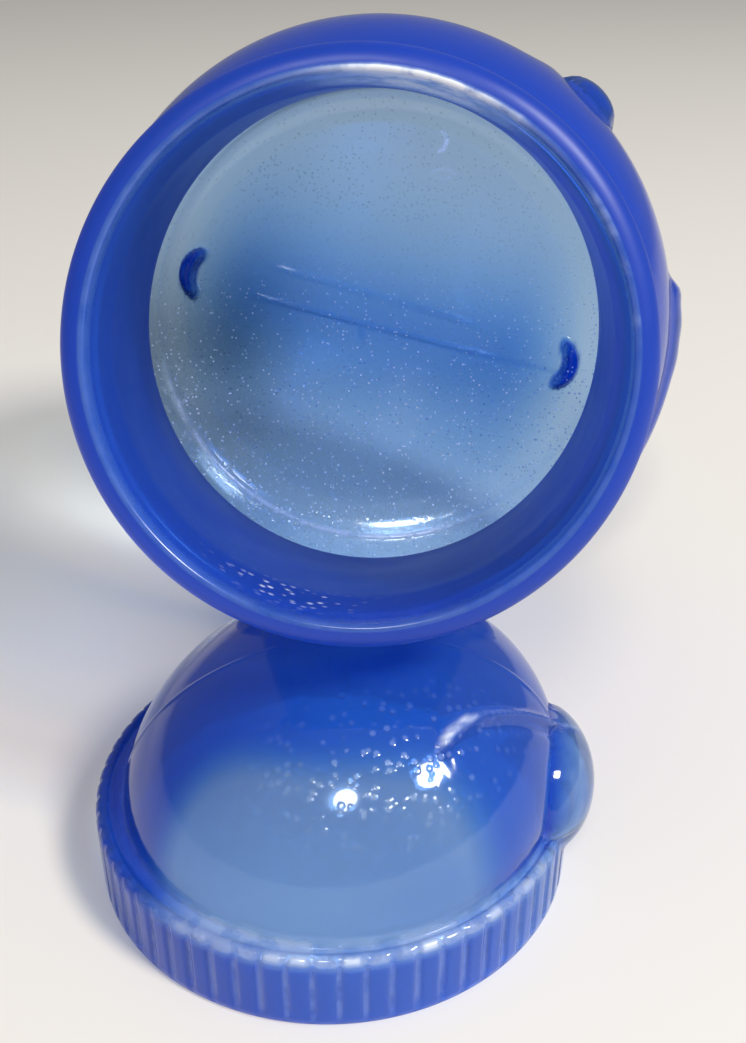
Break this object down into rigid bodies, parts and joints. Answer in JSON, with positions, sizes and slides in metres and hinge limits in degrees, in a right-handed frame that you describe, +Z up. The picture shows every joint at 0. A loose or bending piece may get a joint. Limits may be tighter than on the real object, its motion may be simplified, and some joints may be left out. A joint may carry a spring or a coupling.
{
  "type": "wide-mouth jar with domed lid",
  "caption": "Wide-mouth pot-bellied jar in clear blue plastic, lying with its mouth propped on its own domed lid with a ribbed skirt and finger lug.",
  "frame": {"origin": "centre of the lid's skirt, on the table", "axes": "+Z up; the jar's mouth faces -Y and its base +Y; the lid's finger lug is towards +X"},
  "size_m": [0.1769, 0.2269, 0.1786],
  "materials": {
    "lid_plastic": "glossy, translucent cobalt blue",
    "jar_plastic": "glossy, translucent cobalt blue"
  },
  "bodies": {
    "lid": {"domed_lid": "lid_plastic"},
    "jar": {"jar": "jar_plastic"}
  },
  "joints": [
    {"name": "jar_lift", "type": "slide", "parent": "lid", "child": "jar", "axis": [0, 0, 1], "range_m": [0, 0.12]}
  ]
}
